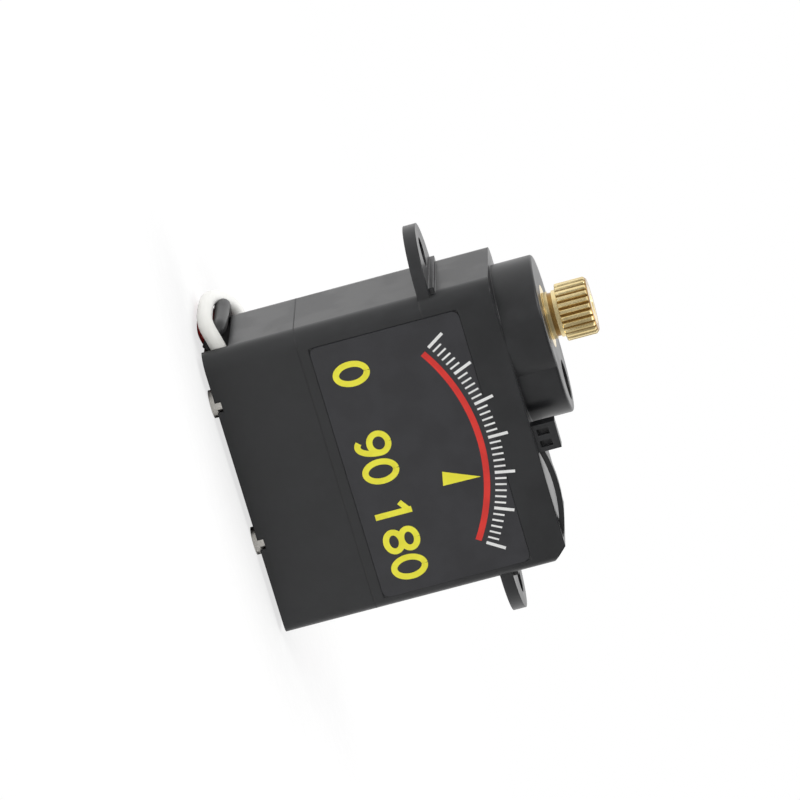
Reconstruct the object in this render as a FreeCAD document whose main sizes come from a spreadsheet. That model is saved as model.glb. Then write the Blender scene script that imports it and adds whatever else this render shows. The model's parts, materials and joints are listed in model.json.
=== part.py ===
import FreeCAD, Part
import math
import os
import re

import Sketcher

from FreeCAD import Vector

# A micro hobby servo motor that stands upright: X runs along the case (output shaft towards -X),
# Y through its thickness (label on the -Y face) and Z up along the output shaft.
# The origin is the middle of the footprint, on the surface under the case screws' heads.

DOC = FreeCAD.newDocument("servo_motor")
SHEET = DOC.addObject("Spreadsheet::Sheet", "Sizes")

SIZES = {
    # case, heights counted from its bottom face
    "case_length": 20.2, "case_depth": 8.5, "case_height": 19.6, "shaft_end_radius": 1.2,
    "motor_end_radius": 0.7, "wall": 0.7, "cover_top": 6.3, "cover_wall": 0.8, "deck_top": 14.8,
    "deck_thick": 0.9, "roof_thick": 0.7, "end_chamfer": 1.05,
    # mounting ears
    "ear_reach": 3.76, "ear_thick": 0.85, "ear_width": 7.48, "ear_hole": 1.0, "ear_pitch": 23.9,
    "ear_root": 0.7,
    # raised bosses over the gears
    "boss_radius": 4.25, "boss_rise": 2.83, "boss_wall": 0.62, "boss_roof": 0.95,
    "boss_round": 0.2,
    "lobe_radius": 3.5, "lobe_offset": 3.2, "lobe_wall": 0.5, "recess_radius": 1.38,
    "recess_depth": 0.42,
    # axes along the case, from the shaft end and from each other
    "shaft_offset": 4.7, "second_axis": 4.6, "first_axis": 4.1, "motor_axis": 2.6,
    # output shaft
    "spline_radius": 1.95, "spline_teeth": 25, "neck_rise": 0.92, "spline_height": 2.15,
    "neck_radius": 1.6, "journal_radius": 1.5, "stub_radius": 0.75, "horn_hole": 0.65,
    "horn_depth": 3.0, "bush_wall": 0.6, "bush_thick": 0.9, "spline_bevel": 0.18,
    "neck_groove": 0.12, "groove_width": 0.3, "tooth_groove": 0.16, "groove_share": 0.2,
    "slip": 0.02,
    # gears: modules, tooth counts and face widths
    "fine_module": 0.2, "output_module": 0.23, "wheel_width": 0.75, "pinion_width": 0.85,
    "gear_gap": 0.1, "backlash": 0.14, "addendum": 0.85, "dedendum": 1.15,
    "motor_teeth": 9, "first_wheel": 17, "first_pinion": 9, "second_wheel": 32,
    "second_pinion": 15, "third_wheel": 31, "fourth_wheel": 31, "fourth_pinion": 11,
    "output_wheel": 29, "output_face": 2.0, "gear_floor": 0.3,
    # steel axles and the running clearance on them
    "axle_radius": 0.4, "running_gap": 0.04, "axle_seat": 0.45,
    # motor
    "motor_radius": 3.1, "motor_bottom": 3.9, "motor_gap": 0.05, "motor_cap": 1.6,
    "motor_nose": 1.0, "motor_shaft": 0.35, "motor_seat": 0.05, "nose_height": 0.5,
    # rotary sensor under the output shaft
    "sensor_radius": 2.3, "sensor_bottom": 7.2, "sensor_height": 2.6, "sensor_shaft": 0.42,
    "sensor_insert": 1.6, "sensor_gap": 0.05,
    # circuit board
    "board_bottom": 2.3, "board_thick": 0.6, "board_edge": 0.3, "chip_size": 3.0,
    "chip_height": 0.75, "tab_thick": 0.5, "tab_width": 0.8, "leg_thick": 0.4, "leg_width": 0.3,
    # screws
    "screw_radius": 0.5, "head_radius": 0.95, "head_height": 0.75, "foot": 0.35,
    "screw_inset": 1.1, "screw_near": 3.6, "screw_far": 13.6, "screw_grip": 1.7,
    "screw_gap": 0.05, "head_gap": 0.2, "column_radius": 0.8, "column_cap": 0.2,
    "driver_slot": 0.28,
    # label
    "label_near": 1.3, "label_far": 0.75, "label_bottom": 7.0, "label_top": 17.15,
    "label_thick": 0.1, "label_sink": 0.05, "label_corner": 0.5,
    # cable guide on the roof
    "guide_near": 10.55, "guide_length": 1.9, "guide_rise": 1.6, "guide_depth": 1.0,
    "arm_thick": 0.36, "arm_gap": 0.3, "arm_width": 0.6, "guide_slot": 0.45,
    # lead
    "wire_radius": 0.525, "notch_depth": 1.5, "notch_width": 6.1, "notch_height": 1.8,
    "grommet_set": 0.4, "coil_radius": 5.8, "coil_x": 4.0, "coil_y": 11.95, "coil_half": 0.55,
    "coil_height": 11.25, "plug_length": 10.0, "plug_width": 7.0, "plug_height": 2.6,
    "plug_start": 1.5, "plug_pitch": 2.0, "contact_size": 0.9, "contact_depth": 6.0,
}


def fill_sheet():
    """Write every driving size to the sheet as a plain number with an alias."""
    for row, (alias, value) in enumerate(SIZES.items(), start=1):
        SHEET.set(f"A{row}", alias)
        SHEET.set(f"B{row}", str(value))
        SHEET.setAlias(f"B{row}", alias)
    DOC.recompute()


def size(alias):
    """Read one driving size back from the sheet."""
    return float(SHEET.get(alias))


def link(text):
    """Turn an expression of aliases into one on the sheet's cells."""
    return re.sub(r"[a-z]\w+", lambda word: "Sizes." + word.group(), text)


def bind(item, **links):
    """Tie properties of an object to expressions of driving sizes."""
    for name, text in links.items():
        item.setExpression(name, link(text))


def place(item, x, y, z):
    """Tie an object's place to expressions; z counts from the surface under the screws."""
    for axis, text in (("x", x), ("y", y), ("z", z)):
        item.setExpression(f"Placement.Base.{axis}", link(text))
    return item


# Places used by more than one piece, as expressions of the driving sizes.
SHAFT_X = "(shaft_offset - case_length / 2)"
SECOND_X = f"({SHAFT_X} + second_axis)"
FIRST_X = f"({SECOND_X} + first_axis)"
MOTOR_X = f"({FIRST_X} + motor_axis)"
LOBE_X = f"({SHAFT_X} + lobe_offset)"
DECK = "(foot + deck_top)"
ROOF = "(foot + case_height)"
BOSS_TOP = f"({ROOF} + boss_rise)"
SPLINE_BASE = f"({BOSS_TOP} + neck_rise)"
LEVEL_A = f"({DECK} + gear_floor)"
LEVEL_B = f"({LEVEL_A} + wheel_width + gear_gap)"
LEVEL_C = f"({LEVEL_B} + pinion_width + gear_gap)"
LEVEL_D = f"({LEVEL_C} + wheel_width + gear_gap)"
LEVEL_E = f"({LEVEL_D} + pinion_width + gear_gap)"
SCREW_XS = ("(screw_near - case_length / 2)", "(screw_far - case_length / 2)")
SCREW_YS = ("(screw_inset - case_depth / 2)", "(case_depth / 2 - screw_inset)")


def box(name, length, width, height, x, y, z):
    """A block centred on x and y that stands on z."""
    item = DOC.addObject("Part::Box", name)
    bind(item, Length=length, Width=width, Height=height)
    return place(item, f"{x} - ({length}) / 2", f"{y} - ({width}) / 2", z)


def cylinder(name, radius, height, x, y, z):
    """An upright round bar that stands on z."""
    item = DOC.addObject("Part::Cylinder", name)
    bind(item, Radius=radius, Height=height)
    return place(item, x, y, z)


def cone(name, low, high, height, x, y, z):
    """An upright cone frustum that stands on z."""
    item = DOC.addObject("Part::Cone", name)
    bind(item, Radius1=low, Radius2=high, Height=height)
    return place(item, x, y, z)


def fuse(name, *pieces):
    """Join pieces into one solid."""
    item = DOC.addObject("Part::MultiFuse", name)
    item.Shapes = list(pieces)
    item.Refine = True
    return item


def group(name, *pieces):
    """Hold separate solids of one kind as one sub-part."""
    item = DOC.addObject("Part::Compound", name)
    item.Links = list(pieces)
    return item


def cut(name, base, *tools):
    """Take tools away from a base."""
    item = DOC.addObject("Part::Cut", name)
    item.Base = base
    item.Tool = tools[0] if len(tools) == 1 else fuse(name + "_tools", *tools)
    item.Refine = True
    return item


def rounded_block(name, length, width, height, z, near_radius, far_radius):
    """A PartDesign block centred on the origin with rounded upright edges at each end."""
    body = DOC.addObject("PartDesign::Body", name)
    sketch = body.newObject("Sketcher::SketchObject", name + "_outline")
    plane = [item for item in body.Origin.OriginFeatures if item.Role == "XY_Plane"][0]
    sketch.AttachmentSupport = [(plane, "")]
    sketch.MapMode = "FlatFace"
    corners = [Vector(-1, -1), Vector(1, -1), Vector(1, 1), Vector(-1, 1)]
    for index, corner in enumerate(corners):
        sketch.addGeometry(Part.LineSegment(corner, corners[(index + 1) % 4]))
    for index in range(4):
        sketch.addConstraint(Sketcher.Constraint("Coincident", index, 2, (index + 1) % 4, 1))
        sketch.addConstraint(Sketcher.Constraint(("Horizontal", "Vertical")[index % 2], index))
    sketch.addConstraint(Sketcher.Constraint("Symmetric", 0, 1, 2, 1, -1, 1))
    along = sketch.addConstraint(Sketcher.Constraint("DistanceX", 0, 1, 0, 2, 2.0))
    across = sketch.addConstraint(Sketcher.Constraint("DistanceY", 1, 1, 1, 2, 2.0))
    sketch.setExpression(f"Constraints[{along}]", link(length))
    sketch.setExpression(f"Constraints[{across}]", link(width))
    pad = body.newObject("PartDesign::Pad", name + "_pad")
    pad.Profile = sketch
    bind(pad, Length=height)
    DOC.recompute()
    for side, radius in ((-1, near_radius), (1, far_radius)):
        if radius is None:
            continue
        base = body.Tip
        edges = []
        for number, edge in enumerate(base.Shape.Edges, start=1):
            run = edge.BoundBox
            if run.ZLength > 1e-6 and run.XLength + run.YLength < 1e-6 and run.XMin * side > 0:
                edges.append(f"Edge{number}")
        rounding = body.newObject("PartDesign::Fillet", f"{name}_fillet{side + 1}")
        rounding.Base = (base, edges)
        bind(rounding, Radius=radius)
        body.Tip = rounding
        DOC.recompute()
    place(body, "0", "0", z)
    return body


def tooth_outline(teeth, module, phase):
    """The closed outline of a spur gear, its first tooth centred at the angle phase.

    Each flank is three points of an involute at 20 degrees, thinned by the backlash; below the
    base circle it narrows a little towards the root, as a cut pinion does.
    """
    pitch = teeth * module / 2
    base = pitch * math.cos(math.radians(20))
    tip = pitch + size("addendum") * module
    root = pitch - size("dedendum") * module
    start = max(base, root)

    def half_angle(radius):
        def involute(at):
            angle = math.acos(min(1.0, base / at))
            return math.tan(angle) - angle
        thick = math.pi / (2 * teeth) * (1 - size("backlash"))
        return thick + involute(pitch) - involute(radius)

    flank = [(start, half_angle(start)), (pitch, half_angle(pitch)), (tip, half_angle(tip))]
    if start > root + 1e-6:
        flank.insert(0, (root, half_angle(start) * 0.8))
    points = []
    for tooth in range(teeth):
        middle = phase + 2 * math.pi * tooth / teeth
        for radius, half in flank:
            points.append((radius, middle - half))
        for radius, half in reversed(flank):
            points.append((radius, middle + half))
    return [Vector(radius * math.cos(turn), radius * math.sin(turn), 0) for radius, turn in points]


def toothed(name, teeth, module, height, x, z, phase=0.0):
    """A toothed disc: its outline by formula, its thickness and place tied to the sheet."""
    points = tooth_outline(int(size(teeth)), size(module), phase)
    outline = DOC.addObject("Part::Feature", name + "_outline")
    outline.Shape = Part.makePolygon(points + points[:1])
    disc = DOC.addObject("Part::Extrusion", name)
    disc.Base = outline
    disc.DirMode = "Custom"
    disc.Dir = Vector(0, 0, 1)
    disc.Solid = True
    bind(disc, LengthFwd=height)
    return place(disc, x, "0", z)


def mesh_phase(teeth):
    """Phase of a gear whose neighbour on the -X side has a tooth on the line of centres."""
    return math.pi - math.pi / size(teeth)


def double_gear(name, wheel, pinion, x, wheel_z, pinion_z, pinion_height, bore, module, phase):
    """A wheel with a smaller pinion above or below it on one hub, bored to run on an axle."""
    lower = toothed(name + "_wheel", wheel, "fine_module", "wheel_width", x, wheel_z)
    upper = toothed(name + "_pinion", pinion, module, pinion_height, x, pinion_z, phase)
    hub_radius = f"({pinion} * {module} / 2 - dedendum * {module})"
    hub = cylinder(name + "_hub", hub_radius, f"{pinion_z} + {pinion_height} - {wheel_z}",
                   x, "0", wheel_z)
    bored = cylinder(name + "_bore", bore, f"{pinion_z} + {pinion_height} - {wheel_z} + 2",
                     x, "0", f"{wheel_z} - 1")
    return cut(name, fuse(name + "_blank", lower, upper, hub), bored)


def screw_places():
    """The four case screws' places along and across the case."""
    return [(x, y) for x in SCREW_XS for y in SCREW_YS]


def bottom_cover():
    """The cover under the board: a tray with four screw columns and the lead's notch."""
    outer = rounded_block("cover_outer", "case_length", "case_depth", "cover_top", "foot",
                          "shaft_end_radius", "motor_end_radius")
    hollow = rounded_block("cover_hollow", "case_length - 2 * cover_wall",
                           "case_depth - 2 * cover_wall", "cover_top - cover_wall",
                           "foot + cover_wall", "shaft_end_radius - cover_wall / 2", None)
    tray = cut("cover_tray", outer, hollow)
    columns = [cylinder(f"cover_column{index}", "column_radius", "cover_top - cover_wall / 2",
                        x, y, "foot + cover_wall / 2")
               for index, (x, y) in enumerate(screw_places())]
    bores = []
    for index, (x, y) in enumerate(screw_places()):
        bores.append(cylinder(f"cover_bore{index}", "screw_radius + screw_gap", "cover_top + 2",
                              x, y, "foot - 1"))
        bores.append(cylinder(f"cover_seat{index}", "head_radius + head_gap",
                              "head_height - foot + 1", x, y, "foot - 1"))
    notch = box("cover_notch", "notch_depth + 1", "notch_width", "notch_height + 1",
                "(notch_depth - 1 - case_length) / 2", "0", "foot - 1")
    return cut("bottom_cover", fuse("cover_blank", tray, *columns), notch, *bores)


def label_pocket(name):
    """The shallow pocket that seats the label, as deep as the label is sunk."""
    return box(name, "case_length - label_near - label_far", "2 * label_sink",
               "label_top - label_bottom", "(label_near - label_far) / 2", "(-case_depth / 2)",
               "foot + label_bottom")


def middle_case():
    """The block that holds the motor and the sensor, with the gear deck on top."""
    outer = rounded_block("middle_outer", "case_length", "case_depth", "deck_top - cover_top",
                          "foot + cover_top", "shaft_end_radius", "motor_end_radius")
    deep = "deck_top - deck_thick - cover_top + 1"
    low = "foot + cover_top - 1"
    tools = [
        cylinder("motor_bay", "motor_radius + motor_gap", deep, MOTOR_X, "0", low),
        cylinder("nose_hole", "motor_nose + motor_gap", "deck_thick + 2", MOTOR_X, "0",
                 f"{DECK} - deck_thick - 1"),
        cylinder("sensor_bay", "sensor_radius + sensor_gap",
                 "sensor_bottom + sensor_height - cover_top + 1 + sensor_gap", SHAFT_X, "0", low),
        cylinder("sensor_neck", "1.3 * stub_radius", deep, SHAFT_X, "0", low),
        cylinder("stub_bearing", "stub_radius + running_gap", "deck_thick + 2", SHAFT_X, "0",
                 f"{DECK} - deck_thick - 1"),
        box("wire_duct", "3 * stub_radius + 1.6", "case_depth - 4 * cover_wall", deep,
            f"({SECOND_X} + sensor_gap)", "0", low),
        label_pocket("middle_label_pocket"),
    ]
    for name, x in (("first_seat", FIRST_X), ("second_seat", SECOND_X)):
        tools.append(cylinder(name, "axle_radius", "axle_seat + 1", x, "0", f"{DECK} - axle_seat"))
    for index, (x, y) in enumerate(screw_places()):
        tools.append(cylinder(f"middle_bore{index}", "screw_radius + screw_gap",
                              "deck_top - cover_top + 2", x, y, low))
    return cut("middle_case", outer, *tools)


def ear(name, side):
    """One mounting ear: a round-ended plate on the deck line with a thicker root."""
    end = f"({side} * case_length / 2)"
    tip = cylinder(name + "_tip", "ear_width / 2", "ear_thick", end, "0", DECK)
    reach = box(name + "_reach", "2 * ear_reach", "ear_width", "ear_thick", end, "0", DECK)
    plate = DOC.addObject("Part::MultiCommon", name + "_plate")
    plate.Shapes = [tip, reach]
    strip = box(name + "_strip", "2 * ear_root", "ear_width - ear_root", "ear_root / 2",
                f"{side} * (case_length / 2 - ear_root / 2)", "0", f"{DECK} + ear_thick")
    return [plate, strip]


def cable_guide():
    """The lug on the roof with its two slots, and the thin arched arm that runs from it."""
    lug_x = "(guide_near + guide_length / 2 - case_length / 2)"
    lug_y = "(guide_depth / 2 - case_depth / 2 + arm_gap)"
    lug = box("guide_lug", "guide_length", "guide_depth", "guide_rise + arm_gap", lug_x, lug_y,
              f"{ROOF} - arm_gap")
    slots = [box(f"guide_slot{index}", "guide_slot", "guide_depth", "guide_rise / 2",
                 f"{lug_x} + {shift} * guide_length", f"{lug_y} - guide_depth * 0.6",
                 f"{ROOF} + arm_gap")
             for index, shift in enumerate((-0.22, 0.22))]
    roof = size("foot") + size("case_height")
    half = size("case_length") / 2
    start = size("guide_near") + size("guide_length") * 0.9 - half
    end = half - size("end_chamfer") * 0.6
    low = roof - size("end_chamfer") * 0.7
    crown = roof + size("arm_gap")
    thick = size("arm_thick")
    under = Part.Arc(Vector(start, 0, roof), Vector((start + end) / 2, 0, crown),
                     Vector(end, 0, low))
    over = Part.Arc(Vector(end, 0, low + thick), Vector((start + end) / 2, 0, crown + thick),
                    Vector(start, 0, roof + thick))
    ends = [Part.LineSegment(Vector(end, 0, low), Vector(end, 0, low + thick)),
            Part.LineSegment(Vector(start, 0, roof + thick), Vector(start, 0, roof))]
    outline = DOC.addObject("Part::Feature", "guide_arm_outline")
    outline.Shape = Part.Wire([under.toShape(), ends[0].toShape(), over.toShape(),
                               ends[1].toShape()])
    arm = DOC.addObject("Part::Extrusion", "guide_arm")
    arm.Base = outline
    arm.DirMode = "Custom"
    arm.Dir = Vector(0, 1, 0)
    arm.Solid = True
    bind(arm, LengthFwd="arm_width")
    place(arm, "0", "arm_gap + guide_depth / 2 - case_depth / 2 - arm_width / 2", "0")
    return cut("guide_block", lug, *slots), arm


def round_top(name, item):
    """Round the outer edges of an object's highest face."""
    DOC.recompute()
    top = item.Shape.BoundBox.ZMax
    rounded = DOC.addObject("Part::Fillet", name)
    rounded.Base = item
    rounded.Edges = [(number, size("boss_round"), size("boss_round"))
                     for number, edge in enumerate(item.Shape.Edges, start=1)
                     if edge.BoundBox.ZMin > top - 1e-6]
    return rounded


def gear_case():
    """The top shell over the gears, with ears, bosses, cable guide and bearing seats."""
    outer = rounded_block("gear_outer", "case_length", "case_depth", "case_height - deck_top",
                          DECK, "shaft_end_radius", "motor_end_radius")
    bevel = DOC.addObject("Part::Box", "end_bevel")
    bind(bevel, Length="2 * end_chamfer", Width="case_depth + 2", Height="2 * end_chamfer")
    bevel.Placement.Rotation = FreeCAD.Rotation(Vector(0, 1, 0), -45)
    place(bevel, "case_length / 2", "-case_depth / 2 - 1", f"{ROOF} - end_chamfer")
    boss = cylinder("shaft_boss", "boss_radius", "case_height - deck_top + boss_rise", SHAFT_X,
                    "0", DECK)
    raised = fuse("gear_raised", boss,
                  cylinder("lobe_end", "lobe_radius", "boss_rise + roof_thick", LOBE_X, "0",
                           f"{ROOF} - roof_thick"),
                  box("lobe_bridge", "lobe_offset", "2 * lobe_radius", "boss_rise + roof_thick",
                      f"({SHAFT_X} + lobe_offset / 2)", "0", f"{ROOF} - roof_thick"))
    guide, arm = cable_guide()
    shell = fuse("gear_shell", cut("gear_bevelled", outer, bevel), round_top("gear_bosses", raised),
                 *ear("near_ear", "(-1)"), *ear("far_ear", "1"), guide, arm)
    rise = "case_height - deck_top + boss_rise - boss_roof + 1"
    pocket = fuse(
        "gear_pocket",
        rounded_block("main_pocket", "case_length - 2 * wall", "case_depth - 2 * wall",
                      "case_height - deck_top - roof_thick + 1", f"{DECK} - 1",
                      "shaft_end_radius - wall / 2", None),
        cylinder("boss_pocket", "boss_radius - boss_wall", rise, SHAFT_X, "0", f"{DECK} - 1"),
        cylinder("lobe_pocket", "lobe_radius - lobe_wall", rise, LOBE_X, "0", f"{DECK} - 1"))
    blocks = [cylinder(f"gear_column{index}", "column_radius", "screw_grip + column_cap", x,
                       y, DECK)
              for index, (x, y) in enumerate(screw_places())]
    first_boss = cylinder("first_boss", "2 * axle_radius", "roof_thick + axle_seat", FIRST_X, "0",
                          f"{ROOF} - roof_thick - axle_seat")
    holes = [
        cylinder("bush_seat", "journal_radius + running_gap + bush_wall", "boss_roof + 2",
                 SHAFT_X, "0", f"{BOSS_TOP} - boss_roof - 1"),
        cylinder("axle_recess", "recess_radius", "recess_depth + 1", SECOND_X, "0",
                 f"{BOSS_TOP} - recess_depth"),
        cylinder("second_top_seat", "axle_radius", "boss_roof + 2", SECOND_X, "0",
                 f"{BOSS_TOP} - boss_roof - 1"),
        cylinder("first_top_seat", "axle_radius", "axle_seat", FIRST_X, "0",
                 f"{ROOF} - roof_thick - axle_seat"),
        label_pocket("gear_label_pocket"),
    ]
    for index, (x, y) in enumerate(screw_places()):
        holes.append(cylinder(f"gear_thread{index}", "screw_radius", "screw_grip + 1", x, y,
                              f"{DECK} - 1"))
    for name, side in (("near_hole", "(-1)"), ("far_hole", "1")):
        holes.append(cylinder(name, "ear_hole", "ear_thick + 2", f"{side} * ear_pitch / 2", "0",
                              f"{DECK} - 1"))
    hollowed = cut("gear_hollowed", shell, pocket)
    return cut("gear_case", fuse("gear_ribbed", hollowed, *blocks, first_boss), *holes)


def spline_ring():
    """The splined head's outline: crests on one circle with a narrow V groove after each."""
    teeth = int(size("spline_teeth"))
    crest = size("spline_radius")
    narrow = size("groove_share") / 2
    edges = []
    for tooth in range(teeth):
        corners = []
        for share, radius in ((narrow, crest), (0.5, crest), (1 - narrow, crest),
                              (1, crest - size("tooth_groove")), (1 + narrow, crest)):
            turn = 2 * math.pi * (tooth + share) / teeth
            corners.append(Vector(radius * math.cos(turn), radius * math.sin(turn), 0))
        edges.append(Part.Arc(*corners[:3]).toShape())
        edges.append(Part.LineSegment(corners[2], corners[3]).toShape())
        edges.append(Part.LineSegment(corners[3], corners[4]).toShape())
    return Part.Wire(edges)


def output_shaft():
    """The splined brass shaft, one turned piece from the head down to the lower bearing."""
    outline = DOC.addObject("Part::Feature", "spline_outline")
    outline.Shape = spline_ring()
    spline = DOC.addObject("Part::Extrusion", "spline_rod")
    spline.Base = outline
    spline.DirMode = "Custom"
    spline.Dir = Vector(0, 0, 1)
    spline.Solid = True
    bind(spline, LengthFwd="spline_height")
    place(spline, SHAFT_X, "0", SPLINE_BASE)
    head = DOC.addObject("Part::MultiCommon", "spline_head")
    tip = cone("spline_tip", "spline_radius - spline_bevel + spline_height",
               "spline_radius - spline_bevel", "spline_height", SHAFT_X, "0", SPLINE_BASE)
    head.Shapes = [spline, tip]
    neck = cylinder("shaft_neck", "neck_radius", "neck_rise - slip", SHAFT_X, "0",
                    f"{BOSS_TOP} + slip")
    journal = cylinder("shaft_journal", "journal_radius", f"{SPLINE_BASE} - {LEVEL_E}",
                       SHAFT_X, "0", LEVEL_E)
    stub = cylinder("shaft_stub", "stub_radius", f"{LEVEL_E} - {DECK} + deck_thick / 2 + 1",
                    SHAFT_X, "0", f"{DECK} - deck_thick / 2")
    blank = fuse("shaft_blank", head, neck, journal, stub)
    groove_low = f"{BOSS_TOP} + neck_rise / 2 - groove_width / 2"
    groove = cut("neck_groove_ring",
                 cylinder("groove_outer", "2 * neck_radius", "groove_width", SHAFT_X, "0",
                          groove_low),
                 cylinder("groove_inner", "neck_radius - neck_groove", "groove_width", SHAFT_X,
                          "0", groove_low))
    return cut("output_shaft", blank, groove,
               cylinder("horn_thread", "horn_hole", "horn_depth + 1", SHAFT_X, "0",
                        f"{SPLINE_BASE} + spline_height - horn_depth"),
               cylinder("sensor_socket", "sensor_shaft + slip", "sensor_insert + 1", SHAFT_X, "0",
                        f"{DECK} - deck_thick / 2 - 1"))


def gears():
    """The output gear and the three double gears between it and the motor's pinion."""
    journal_hole = cylinder("output_gear_bore", "journal_radius", "output_face + 2", SHAFT_X, "0",
                            f"{LEVEL_E} - 1")
    wheel = toothed("output_gear_disc", "output_wheel", "output_module", "output_face - gear_gap",
                    SHAFT_X, f"{LEVEL_E} + gear_gap / 2")
    bore = "axle_radius + running_gap"
    made = [cut("output_gear", wheel, journal_hole)]
    made.append(double_gear("third_gear", "fourth_wheel", "fourth_pinion", SECOND_X, LEVEL_D,
                            f"({LEVEL_D} + wheel_width)", "output_face + gear_gap", bore,
                            "output_module", mesh_phase("fourth_pinion")))
    made.append(double_gear("centre_gear", "third_wheel", "second_pinion", SHAFT_X, LEVEL_C,
                            f"({LEVEL_C} + wheel_width)", "pinion_width + gear_gap / 2",
                            "stub_radius + running_gap", "fine_module", 0.0))
    made.append(double_gear("second_gear", "second_wheel", "second_pinion", SECOND_X, LEVEL_B,
                            f"({LEVEL_B} + wheel_width)", "pinion_width + gear_gap", bore,
                            "fine_module", mesh_phase("second_pinion")))
    made.append(double_gear("first_gear", "first_wheel", "first_pinion", FIRST_X, LEVEL_A,
                            f"({LEVEL_A} + wheel_width)", "pinion_width + gear_gap", bore,
                            "fine_module", mesh_phase("first_pinion")))
    return made


def axles():
    """Two steel pins seated in the deck and in the roof."""
    first = cylinder("first_axle", "axle_radius",
                     "case_height - deck_top - roof_thick + axle_seat - slip", FIRST_X, "0",
                     f"{DECK} - axle_seat")
    second = cylinder("second_axle", "axle_radius",
                      "case_height + boss_rise - deck_top + axle_seat - recess_depth + 0.1",
                      SECOND_X, "0", f"{DECK} - axle_seat")
    return [first, second]


def motor():
    """Can with its nose, end cap, brush terminals, and the shaft with its pinion."""
    top = f"({DECK} - deck_thick - motor_seat)"
    reach = f"({top} - foot - motor_bottom)"
    can_low = "(foot + motor_bottom + motor_cap)"
    tube = fuse("motor_tube",
                cylinder("motor_barrel", "motor_radius", f"{reach} - motor_cap", MOTOR_X, "0",
                         can_low),
                cylinder("motor_nose", "motor_nose", "nose_height", MOTOR_X, "0", top))
    can = cut("motor_can", tube,
              cylinder("shaft_bearing", "motor_shaft + running_gap", f"{reach} + 2", MOTOR_X, "0",
                       can_low))
    cap = cut("motor_end_cap",
              cylinder("cap_disc", "motor_radius - motor_gap", "motor_cap", MOTOR_X, "0",
                       "foot + motor_bottom"),
              cylinder("cap_bearing", "motor_shaft + running_gap", "motor_cap", MOTOR_X, "0",
                       "foot + motor_bottom + motor_cap / 2"))
    shaft_low = "(foot + motor_bottom + motor_cap / 2)"
    shaft = cylinder("motor_shaft", "motor_shaft", f"{LEVEL_B} - {shaft_low} - gear_gap",
                     MOTOR_X, "0", shaft_low)
    bored = cylinder("pinion_bore", "motor_shaft", "wheel_width + 2", MOTOR_X, "0",
                     f"{LEVEL_A} - 1")
    pinion = cut("motor_pinion",
                 toothed("pinion_teeth", "motor_teeth", "fine_module", "wheel_width", MOTOR_X,
                         LEVEL_A, mesh_phase("motor_teeth")), bored)
    tabs = group("motor_terminals",
                 *[box(f"terminal{index}", "tab_thick", "tab_width",
                       "motor_bottom - board_bottom - board_thick",
                       MOTOR_X, f"{side} * motor_radius * 0.6",
                       "foot + board_bottom + board_thick")
                   for index, side in enumerate(("(-1)", "1"))])
    return [can, cap, shaft, pinion, tabs]


def sensor():
    """The rotary position sensor: a round body, its shaft into the output stub, three legs."""
    low = "(foot + sensor_bottom)"
    body = cut("sensor_body",
               cylinder("sensor_disc", "sensor_radius", "sensor_height", SHAFT_X, "0", low),
               cylinder("sensor_bearing", "sensor_shaft + running_gap", "sensor_height",
                        SHAFT_X, "0", f"{low} + sensor_height / 3"))
    shaft_low = f"({low} + sensor_height / 3)"
    shaft = cylinder("sensor_shaft", "sensor_shaft",
                     f"{DECK} - deck_thick / 2 + sensor_insert - {shaft_low}", SHAFT_X, "0",
                     shaft_low)
    legs = group("sensor_legs",
                 *[box(f"leg{index}", "leg_thick", "leg_width",
                       "sensor_bottom - board_bottom - board_thick", f"{SHAFT_X} - 1",
                       f"{step} * sensor_radius * 0.45", "foot + board_bottom + board_thick")
                   for index, step in enumerate(("(-1)", "0", "1"))])
    return [body, shaft, legs]


def board():
    """The circuit board, cut back round the screw columns, with its chips and pads."""
    low = "(foot + board_bottom)"
    plate = box("board_plate", "case_length - 2 * cover_wall - 2 * board_edge",
                "case_depth - 2 * cover_wall - 2 * board_edge", "board_thick", "0", "0", low)
    notches = [cylinder(f"board_notch{index}", "column_radius + board_edge / 2",
                        "board_thick + 2", x, y, f"{low} - 1")
               for index, (x, y) in enumerate(screw_places())]
    chip_low = f"({low} - chip_height)"
    chip = box("control_chip", "chip_size", "chip_size", "chip_height",
               "(screw_near + screw_far - case_length) / 2", "0", chip_low)
    bridge = group("driver_chips",
                   *[box(f"driver{index}", "chip_size / 2", "chip_size * 0.6", "chip_height",
                         "(case_length / 2 - cover_wall - chip_size)", f"{side} * chip_size * 0.45",
                         chip_low)
                     for index, side in enumerate(("(-1)", "1"))])
    capacitor = box("capacitor", "chip_size * 0.7", "chip_size / 2", "chip_height",
                    "(screw_near + screw_far - case_length) / 2", "0",
                    f"({low} + board_thick)")
    return [cut("circuit_board", plate, *notches), chip, bridge, capacitor]


def case_screws():
    """Four long screws from the cover into the gear case, each head with a cross slot."""
    made = []
    for index, (x, y) in enumerate(screw_places()):
        head = cylinder(f"screw_head{index}", "head_radius", "head_height", x, y, "0")
        shank = cylinder(f"screw_shank{index}", "screw_radius",
                         "foot + deck_top + screw_grip - 0.1", x, y, "0")
        slots = [box(f"screw_slot{index}{turn}", along, across, "head_height / 2", x, y,
                     "(-head_height / 4)")
                 for turn, (along, across) in enumerate((("1.4 * head_radius", "driver_slot"),
                                                         ("driver_slot", "1.4 * head_radius")))]
        made.append(cut(f"screw{index}", fuse(f"screw_blank{index}", head, shank), *slots))
    return group("case_screws", *made)


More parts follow.
